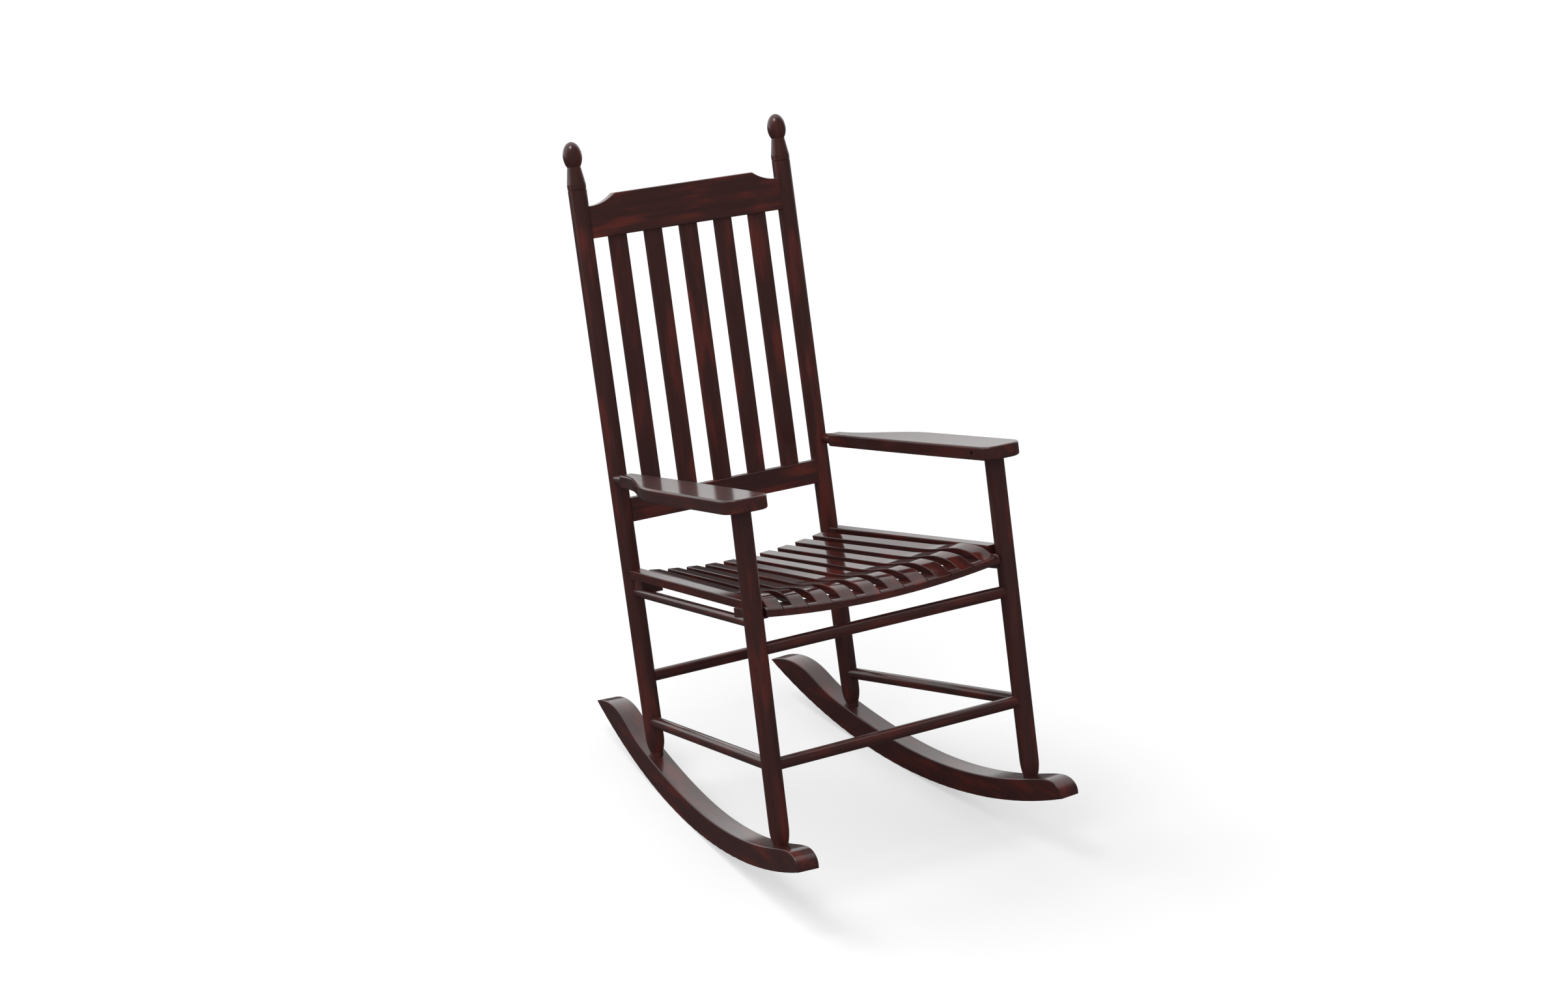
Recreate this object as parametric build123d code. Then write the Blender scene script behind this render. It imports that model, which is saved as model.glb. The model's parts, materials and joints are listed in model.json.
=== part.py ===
from build123d import *

import os
from math import acos, asin, atan2, cos, degrees, radians, sin, sqrt, tan

# A slat-back wooden rocking chair: turned legs and posts, a dished slat seat and two bow rockers.
# Lengths are in millimetres and angles in degrees. The chair is drawn square: +Z runs up its back,
# its front looks towards -Y and X = 0 is its plane of symmetry. Heights and depths of the frame are
# those of the square pose. The whole chair is then leaned back to the pose in which it rests.

# Rest pose and rockers
rest_lean = 14.4
rocker_radius = 1130.0
rocker_low_point = 412.5
rocker_width = 41.0
rocker_depth_front = 41.5
rocker_depth_middle = 45.0
rocker_depth_rear = 49.5
rocker_edge = 2.0
nose_length = 108.0
tail_length = 252.0
# Rounded nose and humped tail: distance beyond the foot, and loss of depth there
nose_line = ((98.0, 21.0), (80.0, 8.5), (55.0, 2.0))
tail_line = ((60.0, 0.0), (97.0, -3.5), (125.0, -5.5), (149.0, -3.5), (178.0, 4.5), (212.0, 21.0))

# Legs and posts
leg_diameter = 35.0
front_leg_x = 259.6
front_leg_y = -34.9
front_leg_splay = 0.32
front_leg_rake = 0.56
rear_post_x = 217.5
rear_post_y = 517.7
rear_post_rake = 0.66
front_foot_diameter = 28.0
rear_foot_diameter = 24.0
foot_collar = 5.0
foot_length = 28.0
socket_depth = 24.0

# Scored groove and egg finial on the posts
groove_height = 1264.0
groove_width = 1.6
groove_depth = 1.2
finial_collar = 10.0
finial_cone = 32.0
finial_neck_diameter = 25.0
finial_egg_diameter = 35.5
finial_egg_half = 27.0
finial_tip_diameter = 3.0

# Round stretchers
stretcher_diameter = 22.0
stretcher_tenon = 14.0
seat_rod_diameter = 18.0
seat_rod_tenon = 12.0
tenon_web = 0.6
seat_rod_height = 512.8
seat_rod_fall = 6.1
front_upper_drop = 47.2
front_lower_height = 262.3
rear_stretcher_height = 340.5
side_stretcher_height = 262.3
side_stretcher_fall = 6.8

# Back
back_thickness = 20.0
crest_groove_gap = 15.0
crest_height = 78.0
crest_flat_half = 147.0
crest_shoulder_drop = 18.0
lower_rail_bottom = 637.7
lower_rail_height = 45.0
rail_tenon_thickness = 10.0
rail_tenon_shoulder = 10.0
back_edge = 2.0
back_slat_count = 5
back_slat_pitch = 74.5
back_slat_width = 36.0
back_slat_thickness = 10.0
back_slat_grip = 12.0
back_slat_edge = 1.5

# Arms
arm_underside = 710.0
arm_thickness = 25.0
arm_outer_reach = 44.0
arm_inner_reach = 39.0
arm_front_reach = 42.0
arm_belly_reach = 37.0
arm_belly_back = 261.0
arm_waist_inset = 46.0
arm_waist_back = 258.0
arm_tip_outer = 21.5
arm_tip_inner = 5.5
arm_tip_gap = 34.0
arm_outer_corner = 34.0
arm_inner_corner = 22.0
arm_edge = 4.0
arm_tenon_diameter = 26.0
arm_tenon_height = 19.0
arm_nub_base = 24.0
arm_nub_tip = 16.0
arm_nub_out = 7.0

# Seat
seat_rise = 19.3
seat_dish = 13.5
seat_slat_count = 10
seat_slat_thickness = 12.0
seat_slat_front_width = 29.0
seat_slat_rear_width = 23.5
seat_slat_edge = 1.5
seat_side_gap = 10.0
seat_rear_gap = 1.5
seat_nose_reach = 13.0
# Rolled front of a slat: distance behind its nose, height over the flat of the seat, and gain in thickness
slat_roll = (
    (186.0, 0.0, 0.0),
    (128.0, 4.0, 1.0),
    (78.0, 9.0, 2.5),
    (55.0, 7.6, 2.5),
    (26.0, 1.0, 1.0),
    (8.0, -9.0, -3.0),
    (0.6, -15.6, -7.0),
)
slat_nose_drift = 0.05
side_slat_rise = 24.3
side_slat_width = 24.5
side_slat_thickness = 16.0
side_slat_inset = 10.0
side_slat_end_gap = 3.0
side_slat_edge = 2.0
housing_depth = 1.0
# The front rail below the flat of the seat: its top and bottom, and its rounded front
front_rail_depth = 56.0
front_rail_setback = 1.1
front_rail_top_drop = 8.5
front_rail_drop = 24.5
front_rail_round = 10.0
front_rail_end_depth = 43.0
rear_rail_depth = 32.0
rear_rail_setback = 6.0
rear_rail_thickness = 16.0
rail_end_overhang = 3.0
rail_end_length = 42.0
leg_notch_gap = 3.0

# Screws
slat_screw_diameter = 4.0
slat_screw_head = 8.0
slat_screw_grip = 8.0
slat_screw_bite = 8.0
nose_screw_back = 22.0
seat_bolt_diameter = 5.0
seat_bolt_head = 9.0
seat_bolt_recess = 4.0
seat_bolt_bite = 11.0
rocker_screw_diameter = 6.0
rocker_screw_head = 12.0
rocker_screw_grip = 8.0
rocker_screw_bite = 18.0
arm_screw_diameter = 5.0
arm_screw_head = 9.0
arm_screw_recess = 4.0
arm_screw_back = 8.0
screw_head_height = 3.0

# Free play around tenons, shoulders and screws
fit = 0.1

# Values that follow from the sizes above
leg_radius = leg_diameter / 2
tenon_depth = leg_radius - stretcher_tenon / 2 - tenon_web
arm_top = arm_underside + arm_thickness
arm_middle = arm_underside + arm_thickness / 2
crest_top = groove_height - crest_groove_gap
crest_bottom = crest_top - crest_height
lower_rail_top = lower_rail_bottom + lower_rail_height
seat_rod_rear_height = seat_rod_height - seat_rod_fall
seat_rod_middle = seat_rod_height - seat_rod_fall / 2
seat_level = seat_rod_middle + seat_rise
side_slat_bottom = seat_rod_middle + side_slat_rise
front_upper_height = seat_rod_height - front_upper_drop
side_stretcher_rear_height = side_stretcher_height - side_stretcher_fall
lean = Rot(X=-rest_lean)
upright = Rot(X=rest_lean)
STANDING = (Align.CENTER, Align.CENTER, Align.MIN)
UP = Vector(0, 0, 1)


def bar(start, end, diameter):
    """A round bar from one point to another."""
    run = end - start
    return Plane(origin=start, z_dir=run) * Cylinder(diameter / 2, run.length, align=STANDING)


def toward(start, end, distance):
    """The point at a distance from start on the line to end."""
    return start + (end - start).normalized() * distance


def block(x, y, z):
    """A box from its (low, high) limits along each axis."""
    box = Box(x[1] - x[0], y[1] - y[0], z[1] - z[0], align=(Align.MIN, Align.MIN, Align.MIN))
    return Pos(x[0], y[0], z[0]) * box


def turned(start, end, outline):
    """A turned piece: an outline of (radius, height) revolved about the line from start to end."""
    blank = revolve(Plane.XZ * make_face(outline), Axis.Z)
    return Plane(origin=start, z_dir=end - start) * blank


def other_side(piece):
    """The same piece on the chair's left."""
    return mirror(piece, about=Plane.YZ)


def both(piece):
    """A piece with its mirror image, as a pair of cutters or screws."""
    return [piece, other_side(piece)]


def flipped(point):
    """The same point on the chair's left."""
    return Vector(-point.X, point.Y, point.Z)


def carved(piece, rooms):
    """A piece with each room cut out of it in turn."""
    for room in rooms:
        piece = piece - room
    return piece


def front_axis(height):
    """A point on the right front leg's axis."""
    rise = height - arm_underside
    x = front_leg_x - rise * tan(radians(front_leg_splay))
    return Vector(x, front_leg_y - rise * tan(radians(front_leg_rake)), height)


def rear_axis(height):
    """A point on the right rear post's axis."""
    rise = height - arm_underside
    return Vector(rear_post_x, rear_post_y + rise * tan(radians(rear_post_rake)), height)


def leaned(point):
    """Where a point of the square chair lies in the rest pose."""
    return (lean * Pos(point.X, point.Y, point.Z)).position


def foot_on_rocker(axis, depth):
    """The point on a leg's axis that lies a depth above the rocker's running face."""
    start = leaned(axis(arm_underside))
    run = (leaned(axis(0)) - start).normalized()
    away_y = start.Y - rocker_low_point
    away_z = start.Z - rocker_radius
    square = run.Y**2 + run.Z**2
    half = away_y * run.Y + away_z * run.Z
    rest = away_y**2 + away_z**2 - (rocker_radius - depth) ** 2
    return toward(axis(arm_underside), axis(0), (sqrt(half**2 - square * rest) - half) / square)


front_foot = foot_on_rocker(front_axis, rocker_depth_front)
rear_foot = foot_on_rocker(rear_axis, rocker_depth_rear)
front_top = front_axis(arm_underside)
rear_groove = rear_axis(groove_height)
front_tongue = toward(front_foot, front_top, -socket_depth)
rear_tongue = toward(rear_foot, rear_groove, -socket_depth)


def screw(seat, tip, diameter, head):
    """A screw whose head rests on seat and whose shank runs to tip."""
    return bar(seat, tip, diameter) + bar(toward(seat, tip, -screw_head_height), seat, head)


def screw_hole(seat, tip, diameter, head, mouth):
    """Room for a screw: its shank, and its head with a bore of length mouth to the outside."""
    shank = bar(toward(tip, seat, -fit), seat, diameter + 2 * fit)
    return shank + bar(toward(seat, tip, -mouth), seat, head + 2 * fit)


def make_rocker():
    """The right rocker: a bow of constant running radius with a rounded nose and a humped tail."""
    front = leaned(front_foot)
    rear = leaned(rear_foot)
    run = Vector(rear.X - front.X, rear.Y - front.Y, 0)
    low = (rocker_low_point - front.Y) * run.length / run.Y

    def edge_point(along, depth):
        return along, rocker_radius - sqrt((rocker_radius - depth) ** 2 - (along - low) ** 2)

    nose = edge_point(-nose_length, 0)
    tail = edge_point(run.length + tail_length, 0)
    top = [nose]
    top += [edge_point(-ahead, rocker_depth_front - loss) for ahead, loss in nose_line]
    top.append(edge_point(0, rocker_depth_front))
    top.append(edge_point(run.length / 2, rocker_depth_middle))
    top.append(edge_point(run.length, rocker_depth_rear))
    top += [edge_point(run.length + behind, rocker_depth_rear - loss) for behind, loss in tail_line]
    top.append(tail)
    outline = make_face([Spline(*top), ThreePointArc(tail, (low, 0), nose)])
    plane = Plane(origin=(front.X, front.Y, 0), x_dir=run, z_dir=run.cross(UP))
    blank = extrude(outline, rocker_width / 2, both=True)
    long_edges = blank.edges().filter_by(lambda edge: edge.length > tail_length)
    return upright * (plane * fillet(long_edges, rocker_edge))


def foot_outline(diameter):
    """Lower outline of a leg: the tongue in the rocker and the swell of the foot above it."""
    collar = socket_depth + foot_collar
    swell = collar + foot_length
    tongue = diameter / 2
    return [
        Line((0, 0), (tongue, 0)),
        Line((tongue, 0), (tongue, collar)),
        TangentArc((leg_radius, swell), (tongue, collar), tangent=(0, -1)),
    ]


def make_front_leg():
    """The right front leg, with a tongue for the rocker and a tenon for the arm."""
    swell = socket_depth + foot_collar + foot_length
    spare = leg_diameter
    length = (front_top - front_tongue).length + spare
    outline = foot_outline(front_foot_diameter) + [
        Polyline((leg_radius, swell), (leg_radius, length), (0, length), (0, 0)),
    ]
    blank = turned(front_tongue, front_top, outline)
    wide = front_leg_x + leg_diameter
    blank -= block((0, wide), (front_leg_y - wide, front_leg_y + wide), (arm_underside, arm_top + spare))
    return blank + bar(front_axis(arm_underside - arm_tenon_height), arm_tenon_top(), arm_tenon_diameter)


def arm_tenon_top():
    """Centre of the end of the front leg's tenon in the arm."""
    return front_axis(arm_underside + arm_tenon_height)


def make_rear_post(tongue, groove_point):
    """A rear post on its axis, with a scored groove, a waisted collar and an egg finial."""
    swell = socket_depth + foot_collar + foot_length
    groove = (groove_point - tongue).length
    half_groove = groove_width / 2
    neck_radius = finial_neck_diameter / 2
    egg_radius = finial_egg_diameter / 2
    neck = groove + finial_collar + finial_cone
    waist = acos(neck_radius / egg_radius)
    egg_centre = neck + finial_egg_half * sin(waist)
    tip = acos(finial_tip_diameter / finial_egg_diameter)
    egg = EllipticalCenterArc(
        (0, egg_centre),
        egg_radius,
        finial_egg_half,
        -degrees(waist),
        arc_size=degrees(waist + tip),
    )
    crown = egg @ 1
    outline = foot_outline(rear_foot_diameter) + [
        Polyline(
            (leg_radius, swell),
            (leg_radius, groove - half_groove),
            (leg_radius - groove_depth, groove),
            (leg_radius, groove + half_groove),
            (leg_radius, groove + finial_collar),
            egg @ 0,
        ),
        egg,
        Polyline(crown, (0, crown.Y), (0, 0)),
    ]
    return turned(tongue, groove_point, outline)


def make_stretcher(start, end, start_post, end_post, diameter, tenon):
    """A round stretcher between two post axes, coped to the posts, with a round tenon in each."""
    inset = leg_radius - tenon_depth
    body = bar(start, end, diameter) - start_post - end_post
    return body + bar(toward(start, end, inset), toward(end, start, inset), tenon)


def stretcher_bore(start, end, tenon):
    """The bore in the post at start for a stretcher's tenon."""
    inset = leg_radius - tenon_depth
    return bar(toward(start, end, inset), toward(start, end, leg_diameter), tenon + 2 * fit)


def back_plane(height):
    """The plane square to the posts at a height of the back, centred between them."""
    slope = radians(rear_post_rake)
    origin = rear_axis(height)
    return Plane(origin=(0, origin.Y, height), x_dir=(1, 0, 0), z_dir=(0, sin(slope), cos(slope)))


def back_board(outline, height):
    """A board of the back from its front outline, standing at a height between the posts."""
    board = extrude(Plane.XZ * make_face(outline), back_thickness / 2, both=True)
    long_edges = board.edges().filter_by(lambda edge: edge.length > crest_shoulder_drop)
    level_edges = long_edges.filter_by(lambda edge: abs(edge.tangent_at(0.5).Y) < 0.5)
    return back_plane(height) * fillet(level_edges, back_edge)


def rail_tenon(height, tall, play):
    """The tenon of a back rail through to the same depth in both posts."""
    half = rear_post_x - leg_radius + tenon_depth
    box = Box(2 * half, rail_tenon_thickness + 2 * play, tall + 2 * play, align=STANDING)
    return back_plane(height) * (Pos(0, 0, rail_tenon_shoulder - play) * box)


def crest_outline():
    """Front outline of the crest rail: level in the middle, with hollow shoulders at the posts."""
    end = rear_post_x - leg_radius
    low = crest_height - crest_shoulder_drop
    top = Line((-crest_flat_half, crest_height), (crest_flat_half, crest_height))
    right = TangentArc((end, low), (crest_flat_half, crest_height), tangent=(-1, 0))
    left = TangentArc((-end, low), (-crest_flat_half, crest_height), tangent=(1, 0))
    half = rear_post_x
    around = Polyline((end, low), (half, low), (half, 0), (-half, 0), (-half, low), (-end, low))
    return [top, right, left, around]


def lower_rail_outline():
    """Front outline of the lower back rail."""
    half = rear_post_x
    top = lower_rail_height
    return Polyline((-half, 0), (half, 0), (half, top), (-half, top), close=True)


def back_slat(centre, play):
    """A flat back slat let into both rails, or with play the room for it."""
    bottom = lower_rail_top - back_slat_grip
    tall = crest_bottom + back_slat_grip - bottom
    plank = Box(back_slat_width + 2 * play, back_slat_thickness + 2 * play, tall, align=STANDING)
    return back_plane(bottom) * (Pos(centre, 0, 0) * plank)


def make_arm():
    """The right arm: a shaped board on the front leg, whose tapered nub enters the rear post."""
    front = front_leg_y - arm_front_reach
    tip = rear_axis(arm_middle).Y - leg_radius - arm_tip_gap
    outer_front = (front_leg_x + arm_outer_reach, front)
    inner_front = (front_leg_x - arm_inner_reach, front)
    belly = (front_leg_x + arm_belly_reach, front_leg_y + arm_belly_back)
    waist = (front_leg_x - arm_waist_inset, front_leg_y + arm_waist_back)
    outer_tip = (rear_post_x + arm_tip_outer, tip)
    inner_tip = (rear_post_x - arm_tip_inner, tip)
    side = (outer_front[0] - belly[0], outer_front[1] - belly[1])
    outline = [
        Line(inner_front, outer_front),
        Line(outer_front, belly),
        Spline(belly, outer_tip, tangents=((-side[0], -side[1]), (0, 1))),
        Line(outer_tip, inner_tip),
        Spline(inner_tip, waist, inner_front),
    ]
    board = extrude(Pos(0, 0, arm_underside) * make_face(outline), arm_thickness, dir=(0, 0, 1))
    corners = board.edges().filter_by(Axis.Z).sort_by(Axis.Y)[:2].sort_by(Axis.X)
    board = fillet(corners[0], arm_inner_corner)
    outer_corner = board.edges().filter_by(Axis.Z).sort_by(Axis.X)[-1]
    board = fillet(outer_corner, arm_outer_corner)
    rims = board.faces().filter_by(Axis.Z).edges()
    board = fillet(rims, arm_edge)
    return board + arm_nub()


def arm_nub_ends():
    """The middle of the arm's rear end, and the point inside the post that its nub aims at."""
    target = rear_axis(arm_middle) + Vector(arm_nub_out, 0, 0)
    tip_x = rear_post_x + (arm_tip_outer - arm_tip_inner) / 2
    return Vector(tip_x, target.Y - leg_radius - arm_tip_gap, arm_middle), target


def arm_nub():
    """The tapered nub at the rear of the arm, with its tenon in the post."""
    start, target = arm_nub_ends()
    reach = (target - start).length
    root = arm_edge
    taper = Cone(arm_nub_base / 2, arm_nub_tip / 2, reach + root, align=STANDING)
    cone = Plane(origin=toward(start, target, -root), z_dir=target - start) * taper - rear_envelope
    return cone + bar(start, toward(target, start, leg_radius - tenon_depth), arm_nub_tip - 2 * tenon_web)


def seat_nose():
    """Where the noses of the seat slats lie."""
    return front_axis(seat_level).Y - seat_nose_reach


def seat_back():
    """Where the rear ends of the seat slats lie."""
    return rear_axis(seat_level).Y - leg_radius - seat_rear_gap


def slat_top():
    """The line of a slat's top from rear to nose, as (y, z)."""
    points = [(seat_nose() + back, seat_level + rise) for back, rise, _ in slat_roll]
    flat = Line((seat_back(), seat_level), points[0])
    return [flat, Spline(*points, tangents=((-1, 0), (-slat_nose_drift, -1)))]


def slat_under():
    """The line of a slat's underside from rear to nose, as (y, z)."""
    roll = slat_top()[1]
    points = []
    for back, rise, gain in slat_roll:
        point = (seat_nose() + back, seat_level + rise)
        ahead = roll.tangent_at(roll.param_at_point(point))
        thickness = seat_slat_thickness + gain
        points.append((point[0] - ahead.Y * thickness, point[1] + ahead.X * thickness))
    flat = Line((seat_back(), seat_level - seat_slat_thickness), points[0])
    return [flat, Spline(*points, tangents=((-1, 0), (-1, 0)))]


def slat_profile(outline):
    """A side outline drawn out over more than a slat's width."""
    return extrude(Plane.YZ * make_face(outline), seat_slat_front_width, both=True)


def slat_plan(play, ahead):
    """The tapered plan of a seat slat as a cutter, with play at its sides and some way ahead of its nose."""
    length = seat_back() - seat_nose()
    taper = (seat_slat_front_width - seat_slat_rear_width) / (2 * length)
    rear = seat_slat_rear_width / 2 + play
    front = rear + taper * (length + ahead)
    near = seat_nose() - ahead
    plan = Polyline((-front, near), (front, near), (rear, seat_back()), (-rear, seat_back()), close=True)
    return extrude(make_face(plan), arm_underside, dir=(0, 0, 1))


def make_seat_slat():
    """A seat slat on the middle line, tapered from nose to rear, with eased upper edges."""
    top = slat_top()
    under = slat_under()
    outline = top + under + [Line(top[0] @ 0, under[0] @ 0), Line(top[1] @ 1, under[1] @ 1)]
    plank = slat_profile(outline) & slat_plan(0, 0)
    upper = plank.edges().filter_by(lambda edge: edge.length > seat_slat_front_width)
    return fillet(upper.sort_by(lambda edge: edge.center().Z)[-4:], seat_slat_edge)


def slat_room():
    """The room for a seat slat in the rails: all above its underside, also ahead of its nose."""
    under = slat_under()
    heel = under[1] @ 1
    lip = toward(heel, slat_top()[1] @ 1, seat_slat_thickness + seat_nose_reach)
    over = seat_level + seat_slat_thickness
    around = Polyline(heel, lip, (lip.X, over), (seat_back(), over), under[0] @ 0)
    return slat_profile(under + [around]) & slat_plan(fit, seat_nose_reach)


def slat_share(index):
    """The place of a seat slat across the seat, from -1 at the left to 1 at the right."""
    return 2 * index / (seat_slat_count - 1) - 1


def front_half():
    """Distance from the middle to the line of the outermost slat at its nose."""
    return front_axis(seat_level).X - leg_radius - seat_side_gap - seat_slat_front_width / 2


def rear_half():
    """Distance from the middle to the line of the outermost slat at its rear."""
    return rear_post_x - leg_radius - seat_side_gap - seat_slat_rear_width / 2


def slat_place(index):
    """The move from the middle line to the place of a seat slat in the fanned and dished seat."""
    share = slat_share(index)
    lift = seat_dish * share**2
    tilt = degrees(atan2(4 * seat_dish * share, front_half() + rear_half()))
    fan = degrees(atan2((front_half() - rear_half()) * share, seat_back() - seat_nose()))
    return (
        Pos(rear_half() * share, seat_back(), seat_level + lift)
        * Rot(Z=fan)
        * Rot(Y=-tilt)
        * Pos(0, -seat_back(), -seat_level)
    )


def slat_middle(index, y):
    """The x of a slat's middle line, and the height of its underside on the flat, at a depth."""
    ahead = (seat_back() - y) / (seat_back() - seat_nose())
    share = slat_share(index)
    x = share * (rear_half() + ahead * (front_half() - rear_half()))
    return x, seat_level + seat_dish * share**2 - seat_slat_thickness


def side_slat(play):
    """The right side slat, which runs from the post to the leg above the seat rod."""
    rear_y = rear_axis(side_slat_bottom).Y - leg_radius - side_slat_end_gap
    front_y = front_axis(side_slat_bottom).Y + leg_radius + side_slat_end_gap
    front_x = front_axis(side_slat_bottom).X - side_slat_inset
    run = Vector(front_x - rear_post_x, front_y - rear_y, 0)
    plank = Box(
        run.length,
        side_slat_width + 2 * play,
        side_slat_thickness,
        align=(Align.MIN, Align.CENTER, Align.MIN),
    )
    if play == 0:
        top_edges = plank.edges().filter_by(Axis.X).group_by(Axis.Z)[-1]
        plank = fillet(top_edges, side_slat_edge)
    return Plane(origin=(rear_post_x, rear_y, side_slat_bottom), x_dir=run, z_dir=UP) * plank


def seat_rod_point(y):
    """The point of the right seat rod's axis at a depth."""
    front = front_axis(seat_rod_height)
    rear = rear_axis(seat_rod_rear_height)
    return front + (rear - front) * ((y - front.Y) / (rear.Y - front.Y))


def dished(outline, half_width, slat_half):
    """A cross rail: an outline in Y and Z swept across the seat on the dish of the slats there."""
    radius = slat_half**2 / (2 * seat_dish)
    turn = degrees(asin(half_width / radius))
    hub = Axis((0, 0, seat_level + radius), (0, 1, 0))
    return revolve((Plane.YZ * outline).rotate(hub, -turn), hub, 2 * turn)


def rail_ends(near, far):
    """The blocks at both ends of a cross rail, from the seat rods up to the side slats."""
    middle = seat_rod_point((near + far) / 2)
    end = middle.X + seat_rod_diameter / 2 - rail_end_overhang
    return both(block((end - rail_end_length, end), (near, far), (middle.Z, side_slat_bottom)))


def make_front_rail():
    """The front cross rail, rounded under the noses of the slats, with ends behind the front legs."""
    near = seat_nose() + front_rail_setback
    far = near + front_rail_depth
    crown = near + front_rail_round
    top = seat_level - front_rail_top_drop
    lip = seat_level + slat_roll[-1][1]
    bottom = seat_level - front_rail_drop
    outline = [
        Polyline((crown, top), (far, top), (far, bottom), (near, bottom), (near, lip)),
        EllipticalCenterArc((crown, lip), front_rail_round, top - lip, start_angle=90, arc_size=90),
    ]
    reach = seat_rod_point(far).X - rail_end_overhang
    rail = dished(make_face(outline), reach, front_half())
    notch_y = front_axis(seat_level).Y + leg_radius + leg_notch_gap
    rail += rail_ends(notch_y, notch_y + front_rail_end_depth)
    leg_inside = front_axis(seat_level).X - leg_radius - leg_notch_gap
    notch = block((leg_inside, front_leg_x), (near - leg_diameter, notch_y), (0, arm_underside))
    return rail - both(notch)


def front_bolt_depth():
    """The depth at which the ends of the front rail are screwed to the seat rods."""
    return front_axis(seat_level).Y + leg_radius + leg_notch_gap + seat_bolt_head


def make_rear_rail():
    """The rear cross rail, which carries the rear ends of the slats."""
    far = seat_back() - rear_rail_setback
    near = far - rear_rail_depth
    top = seat_level - seat_slat_thickness + housing_depth
    section = Rectangle(rear_rail_depth, rear_rail_thickness)
    outline = Pos((near + far) / 2, top - rear_rail_thickness / 2) * section
    rail = dished(outline, seat_rod_point(near).X - rail_end_overhang, rear_half())
    return rail + rail_ends(near, far)


def rear_rail_middle():
    """The depth at which the rear rail is screwed to the slats."""
    return seat_back() - rear_rail_setback - rear_rail_depth / 2


def slat_screw_ends(index, y):
    """The seat and tip of a screw from below into a slat."""
    x, under = slat_middle(index, y)
    return Vector(x, y, under - slat_screw_grip), Vector(x, y, under + slat_screw_bite)


def seat_bolt_ends(y):
    """The seat and tip of a screw from below through the seat rod and rail into the side slat."""
    middle = seat_rod_point(y)
    seat = Vector(middle.X, y, middle.Z - seat_rod_diameter / 2 + seat_bolt_recess)
    return seat, Vector(middle.X, y, side_slat_bottom + seat_bolt_bite)


def rocker_screw_ends(tongue, top):
    """The seat and tip of a screw from under the rocker into the tongue of a leg."""
    return toward(tongue, top, -rocker_screw_grip), toward(tongue, top, rocker_screw_bite)


def arm_screw_ends():
    """The seat and tip of the screw from the inner side of the arm into the leg's tenon."""
    axis = front_axis(arm_middle)
    inside = front_leg_x - arm_inner_reach
    y = axis.Y + arm_screw_back
    return Vector(inside + arm_screw_recess, y, arm_middle), Vector(axis.X, y, arm_middle)


# Round envelopes that shoulders are coped to
front_envelope = bar(front_axis(0), front_axis(arm_top), leg_diameter + 2 * fit)
rear_envelope = bar(rear_axis(0), rear_axis(crest_top), leg_diameter + 2 * fit)

pieces = {}

# Stretchers: name, start and end on the axes, diameter and tenon
front_pairs = {"front_stretcher_upper": front_upper_height, "front_stretcher_lower": front_lower_height}
leg_bores = []
post_bores = []
for name, height in front_pairs.items():
    right = front_axis(height)
    left = flipped(right)
    pieces[name] = make_stretcher(
        left, right, other_side(front_envelope), front_envelope, stretcher_diameter, stretcher_tenon
    )
    leg_bores.append(stretcher_bore(right, left, stretcher_tenon))

right = rear_axis(rear_stretcher_height)
left = flipped(right)
pieces["rear_stretcher"] = make_stretcher(
    left, right, other_side(rear_envelope), rear_envelope, stretcher_diameter, stretcher_tenon
)
post_bores.append(stretcher_bore(right, left, stretcher_tenon))

side_rods = {
    "side_stretcher": (
        side_stretcher_height,
        side_stretcher_rear_height,
        stretcher_diameter,
        stretcher_tenon,
    ),
    "seat_rod": (seat_rod_height, seat_rod_rear_height, seat_rod_diameter, seat_rod_tenon),
}
right_pieces = {}
for name, (front_height, rear_height, diameter, tenon) in side_rods.items():
    front = front_axis(front_height)
    rear = rear_axis(rear_height)
    right_pieces[name] = make_stretcher(front, rear, front_envelope, rear_envelope, diameter, tenon)
    leg_bores.append(stretcher_bore(front, rear, tenon))
    post_bores.append(stretcher_bore(rear, front, tenon))

# Back: two rails and the slats between them
slat_centres = [(index - (back_slat_count - 1) / 2) * back_slat_pitch for index in range(back_slat_count)]
slat_rooms = [back_slat(centre, fit) for centre in slat_centres]
crest_tenon = crest_height - crest_shoulder_drop - 2 * rail_tenon_shoulder
lower_tenon = lower_rail_height - 2 * rail_tenon_shoulder
posts = both(rear_envelope)
crest = back_board(crest_outline(), crest_bottom) - posts
lower_rail = back_board(lower_rail_outline(), lower_rail_bottom) - posts
pieces["crest_rail"] = crest + rail_tenon(crest_bottom, crest_tenon, 0) - slat_rooms
pieces["lower_back_rail"] = lower_rail + rail_tenon(lower_rail_bottom, lower_tenon, 0) - slat_rooms
post_bores.append(rail_tenon(crest_bottom, crest_tenon, fit))
post_bores.append(rail_tenon(lower_rail_bottom, lower_tenon, fit))
for index, centre in enumerate(slat_centres):
    plank = back_slat(centre, 0)
    upright_edges = plank.edges().sort_by(SortBy.LENGTH)[-4:]
    pieces[f"back_slat_{index + 1}"] = fillet(upright_edges, back_slat_edge)

# Arms
arm_screw = arm_screw_ends()
arm_screw_sizes = (arm_screw_diameter, arm_screw_head)
arm_screw_room = screw_hole(*arm_screw, *arm_screw_sizes, arm_inner_reach)
arm_room_foot = front_axis(arm_underside - arm_tenon_height)
arm_room = bar(arm_room_foot, arm_tenon_top(), arm_tenon_diameter + 2 * fit)
right_pieces["arm"] = make_arm() - arm_room - arm_screw_room
nub_start, nub_target = arm_nub_ends()
nub_end = toward(nub_target, nub_start, leg_radius - tenon_depth)
post_bores.append(bar(nub_start, nub_end, arm_nub_tip - 2 * tenon_web + 2 * fit))

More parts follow.
